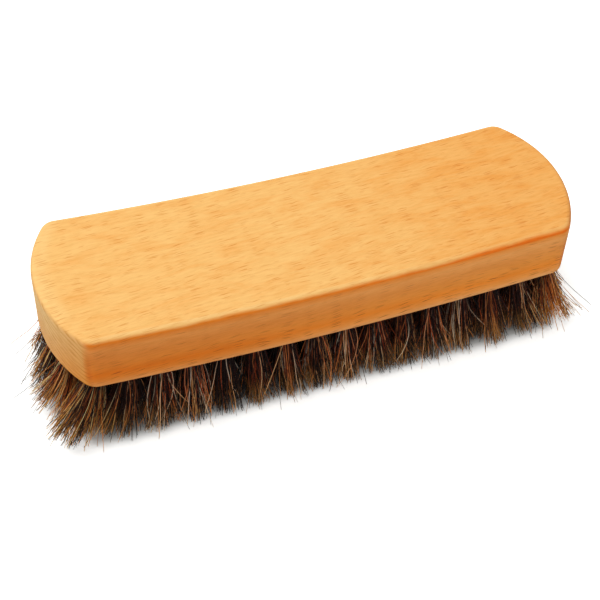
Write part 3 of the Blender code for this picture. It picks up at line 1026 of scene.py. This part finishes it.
def hair_faces(count):
    """Corner numbers of every face: the sides as quads, then the two caps as triangles."""
    hair_size = HAIR_RINGS * HAIR_SIDES
    ring = np.arange(HAIR_RINGS - 1)[:, None] * HAIR_SIDES
    side = np.arange(HAIR_SIDES)[None]
    after = (side + 1) % HAIR_SIDES
    upper = ring + HAIR_SIDES
    quads = np.stack([ring + side, ring + after, upper + after, upper + side], 2)
    start = np.arange(count) * hair_size
    quads = quads.reshape(1, -1, 4) + start[:, None, None]
    root_cap = np.arange(HAIR_SIDES)[::-1][None] + start[:, None]
    tip_cap = np.arange(hair_size - HAIR_SIDES, hair_size)[None] + start[:, None]
    return quads.reshape(-1, 4), root_cap, tip_cap


def hair_layout(count):
    """A cell of the unit square for each hair, in the order of hair_faces."""
    columns = math.ceil(math.sqrt(count))
    number = np.arange(count)
    cell = np.stack([number % columns, number // columns], 1)
    low = (1 - HAIR_CELL_FILL) / 2
    ring, side = np.meshgrid(np.arange(HAIR_RINGS - 1), np.arange(HAIR_SIDES), indexing="ij")
    across = np.stack([side, side + 1, side + 1, side], 2) / HAIR_SIDES
    along = np.stack([ring, ring, ring + 1, ring + 1], 2) / (HAIR_RINGS - 1)
    quad = np.stack([across, along], 3).reshape(-1, 2)
    step = 1 / HAIR_SIDES
    root = np.array(((0.0, 0.0), (step, step / 4), (2 * step, 0.0)))
    parts = []
    for shape in (quad, root, 1 - root):
        places = cell[:, None] + low + shape[None] * HAIR_CELL_FILL
        parts.append(places.reshape(-1, 2) / columns)
    return np.concatenate(parts)


def build_hair_row(row, material):
    rng = np.random.default_rng(SEED + row)
    parts = [tuft_hairs(rng, row, tuft) for tuft in range(TUFTS_PER_ROW)]
    points, radius, shade, hue, shelter = (np.concatenate(part) for part in zip(*parts))
    count = len(points)
    corners = tubes(points, radius)
    quads, root_caps, tip_caps = hair_faces(count)
    mesh = bpy.data.meshes.new(f"hair_row_{row + 1:02d}")
    mesh.vertices.add(corners.size // 3)
    mesh.vertices.foreach_set("co", corners.astype(np.float32).ravel())
    loops = np.concatenate([quads.ravel(), root_caps.ravel(), tip_caps.ravel()])
    cap_count = len(root_caps) + len(tip_caps)
    sizes = np.concatenate([np.full(len(quads), 4), np.full(cap_count, HAIR_SIDES)])
    mesh.loops.add(len(loops))
    mesh.loops.foreach_set("vertex_index", loops.astype(np.int32))
    mesh.polygons.add(len(sizes))
    starts = np.concatenate([[0], np.cumsum(sizes)[:-1]])
    mesh.polygons.foreach_set("loop_start", starts.astype(np.int32))
    mesh.update(calc_edges=True)
    mesh.shade_smooth()
    add_bake_layout(mesh, hair_layout(count))

    share = np.clip(np.linspace(-SINK / BLOCK_LOW.z, 1, HAIR_RINGS), 0, 1)
    for name, values in (("shade", shade), ("hue", hue), ("shelter", shelter)):
        add_value(mesh, name, np.repeat(values, HAIR_RINGS * HAIR_SIDES))
    add_value(mesh, "along", np.tile(np.repeat(share, HAIR_SIDES), count))
    mesh.materials.append(material)
    item = object_from(mesh.name, mesh)
    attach(item, "root")
    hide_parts(f"tuft_row_{row + 1:02d}")


def add_value(mesh, name, values):
    attribute = mesh.attributes.new(name, "FLOAT", "POINT")
    attribute.data.foreach_set("value", values.astype(np.float32))


def seen_ray(nodes):
    """1 for rays that show the background: from the camera, from gloss and through glass."""
    path = nodes.add("LightPath").outputs
    mirrored = nodes.math("MAXIMUM", path["Is Glossy Ray"], path["Is Transmission Ray"])
    return nodes.math("MAXIMUM", path["Is Camera Ray"], mirrored)


def seen_or_plain(nodes, plain, seen):
    return nodes.add("MixShader", None, {0: seen_ray(nodes), 1: plain, 2: seen}).outputs[0]


def distance_from_box(nodes, away, half_size):
    beyond = nodes.vector("SUBTRACT", away, tuple(half_size))
    return nodes.vector("LENGTH", nodes.vector("MAXIMUM", beyond, (0.0, 0.0, 0.0)))


def build_floor():
    """A pale floor. Rays that show it also find a glow round the block, weak close to it, and
    painted shadow under it.
    """
    bm = bmesh.new()
    bmesh.ops.create_grid(bm, x_segments=1, y_segments=1, size=FLOOR_SIZE / 2)
    floor = object_from_bmesh("floor", bm)
    material, nodes = new_material("floor_pale")
    place = nodes.add("TexCoord").outputs["Object"]
    across = nodes.times(nodes.split(place)["Y"], 2 / BLOCK_WIDTH)
    bow = nodes.times(nodes.math("POWER", across, 2.0), END_BOW)
    away = nodes.vector("ADD", nodes.vector("ABSOLUTE", place), nodes.join(bow, 0.0))
    half_size = Vector((BLOCK_LENGTH / 2, BLOCK_WIDTH / 2, 0.0))
    outside = distance_from_box(nodes, away, half_size)
    near, far = (nodes.remap(outside, *fade) for fade in FLOOR_LIFTS)
    # Painted shadow under the brush, for rays that show the floor
    shade_start, shade_end = FLOOR_PAINTED_SHADOW
    core = half_size + Vector((shade_start, shade_start, 0.0))
    clear = nodes.remap(distance_from_box(nodes, away, core), 0.0, shade_end - shade_start)
    tone = nodes.mix(clear, BLACK, FLOOR_SEEN_TONE)
    plain = nodes.add("BsdfDiffuse", None, {"Color": FLOOR_TONE}).outputs[0]
    pale = nodes.add("BsdfDiffuse", None, {"Color": tone}).outputs[0]
    glow = {"Color": WHITE, "Strength": nodes.plus(near, far)}
    lift = nodes.add("Emission", None, glow).outputs[0]
    lifted = nodes.add("AddShader", None, {0: pale, 1: lift}).outputs[0]
    nodes.finish("Material", seen_or_plain(nodes, plain, lifted))
    floor.data.materials.append(material)


def build_world():
    """Soft light from all round, a little stronger from the left, on a white background."""
    world = bpy.data.worlds.new("studio")
    bpy.context.scene.world = world
    world.use_nodes = True
    nodes = Nodes(world.node_tree)
    direction = nodes.split(nodes.add("TexCoord").outputs["Generated"])
    rise = nodes.remap(direction["Z"], 0.0, 1.0, HORIZON_STRENGTH, ZENITH_STRENGTH)
    strength = nodes.times(rise, nodes.remap(direction["X"], -1.0, 0.0, LEFT_GAIN, 1.0))
    sky = nodes.add("Background", None, {"Color": WHITE, "Strength": strength}).outputs[0]
    white = nodes.add("Background", None, {"Color": WHITE, "Strength": 1.0}).outputs[0]
    nodes.finish("World", seen_or_plain(nodes, sky, white))


def build_lamp(name, place, size, power):
    lamp = bpy.data.lights.new(name, "AREA")
    lamp.energy = power
    lamp.size = size
    item = object_from(name, lamp)
    item.location = place
    item.rotation_mode = "QUATERNION"
    item.rotation_quaternion = (-place).to_track_quat("-Z", "Y")


def build_camera():
    azimuth = math.radians(VIEW_AZIMUTH)
    elevation = math.radians(VIEW_ELEVATION)
    level = math.cos(elevation)
    back = Vector((level * math.sin(azimuth), -level * math.cos(azimuth), math.sin(elevation)))
    right = (-back).cross(Vector((0, 0, 1))).normalized()
    up = back.cross(right)
    upright = Matrix((right, up, back)).transposed().to_4x4()
    camera = bpy.data.cameras.new("camera")
    camera.sensor_width = SENSOR_WIDTH
    camera.lens = SENSOR_WIDTH * FOCAL_PIXELS / FRAME_PIXELS
    item = object_from("camera", camera)
    roll = Matrix.Rotation(math.radians(VIEW_ROLL), 4, "Z")
    item.matrix_world = Matrix.Translation(VIEW_TARGET + back * VIEW_DISTANCE) @ upright @ roll
    bpy.context.scene.camera = item


def main():
    build_block()
    horsehair = hair_material()
    for row in range(ROWS):
        build_hair_row(row, horsehair)
    build_floor()
    build_world()
    for lamp in LAMPS:
        build_lamp(*lamp)
    build_camera()
    bpy.context.scene.view_settings.view_transform = "Standard"


main()
